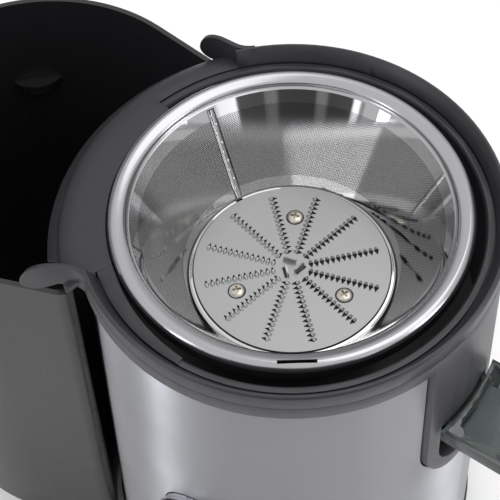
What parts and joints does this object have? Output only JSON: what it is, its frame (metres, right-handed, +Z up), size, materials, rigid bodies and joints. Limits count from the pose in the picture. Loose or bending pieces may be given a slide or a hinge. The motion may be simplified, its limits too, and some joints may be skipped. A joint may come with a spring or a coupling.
{
  "type": "centrifugal juicer",
  "caption": "Centrifugal juicer with its lid off: motor base with a speed dial, lift-off bowl and spinning strainer basket, side spout and pulp bin.",
  "frame": {"origin": "middle of the whole footprint, on the bench", "axes": "+Z up, -X towards the pulp bin, -Y towards the speed dial"},
  "size_m": [0.3422, 0.2092, 0.2508],
  "materials": {
    "bowl_plastic": "satin moulded dark grey plastic with a fine texture",
    "collar_plastic": "satin moulded dark grey plastic with a fine texture",
    "brushed_sleeve": "stainless sheet brushed round the body",
    "base_plastic": "satin black plastic",
    "foot_rubber": "matt black rubber",
    "bin_plastic": "black plastic, glossy inside and satin outside",
    "rim_steel": "polished stainless steel",
    "mesh_steel": "etched stainless strainer sheet with fine holes",
    "basket_plastic": "glass-filled dark plastic",
    "disc_steel": "satin stainless steel with punched teeth",
    "screw_steel": "nickel-plated steel",
    "spout_clear": "smoky translucent plastic",
    "dial_chrome": "bright plated plastic",
    "light_ring": "translucent blue plastic",
    "pointer_white": "printed white mark",
    "zinc_steel": "zinc-plated and ground steel",
    "inner_plastic": "unpainted moulded plastic",
    "coupling_nylon": "black nylon",
    "bearing_steel": "ground bearing steel",
    "seal_rubber": "nitrile rubber",
    "gland_rubber": "moulded black rubber",
    "lamination_steel": "oxide-coated steel laminations",
    "copper": "enamelled copper",
    "bridge_aluminium": "cast aluminium",
    "carbon": "pressed carbon",
    "board_green": "lacquered circuit board"
  },
  "bodies": {
    "root": {"housing_collar": "collar_plastic", "body_shell": "brushed_sleeve", "base_plate": "base_plastic", "rubber_feet": "foot_rubber", "base_screws": "zinc_steel", "motor_deck": "inner_plastic", "upper_bearing": "bearing_steel", "shaft_seal": "seal_rubber", "motor_stator": "lamination_steel", "field_coils": "copper", "motor_bolts": "zinc_steel", "bearing_bridge": "bridge_aluminium", "bridge_spacers": "zinc_steel", "lower_bearing": "bearing_steel", "carbon_brushes": "carbon", "brush_holders": "inner_plastic", "control_board": "board_green", "cord_gland": "gland_rubber", "dial_bezel": "dial_chrome", "light_ring": "light_ring", "speed_switch": "inner_plastic"},
    "rotor": {"motor_shaft": "zinc_steel", "rotor_core": "lamination_steel", "commutator": "copper", "cooling_fan": "inner_plastic", "drive_coupling": "coupling_nylon"},
    "basket": {"basket_rim": "rim_steel", "basket_mesh": "mesh_steel", "overlap_strip": "mesh_steel", "basket_base": "basket_plastic", "grater_disc": "disc_steel", "disc_screws": "screw_steel"},
    "bowl": {"juice_bowl": "bowl_plastic"},
    "bin": {"pulp_bin": "bin_plastic"},
    "dial": {"dial_knob": "dial_chrome", "dial_shaft": "zinc_steel", "dial_pointer": "pointer_white"},
    "spout": {"juice_spout": "spout_clear"}
  },
  "joints": [
    {"name": "drive_spin", "type": "hinge", "parent": "root", "child": "rotor", "pos_m": [0.03988, 0.00365, 0], "axis": [0, 0, 1], "continuous": true},
    {"name": "basket_lift", "type": "slide", "parent": "rotor", "child": "basket", "axis": [0, 0, 1], "range_m": [0, 0.09]},
    {"name": "bowl_lift", "type": "slide", "parent": "root", "child": "bowl", "axis": [0, 0, 1], "range_m": [0, 0.09]},
    {"name": "bin_slide", "type": "slide", "parent": "root", "child": "bin", "axis": [-1, 0, 0], "range_m": [0, 0.08]},
    {"name": "dial_turn", "type": "hinge", "parent": "root", "child": "dial", "pos_m": [0.03988, -0.08635, 0.1145], "axis": [0, 1, 0], "range_deg": [-40, 80]},
    {"name": "spout_pull", "type": "slide", "parent": "root", "child": "spout", "axis": [0.9912, -0.1323, 0], "range_m": [0, 0.03]}
  ],
  "couplings": [
    {"joint": "basket_lift", "follows": "bowl_lift", "ratio": 1}
  ]
}
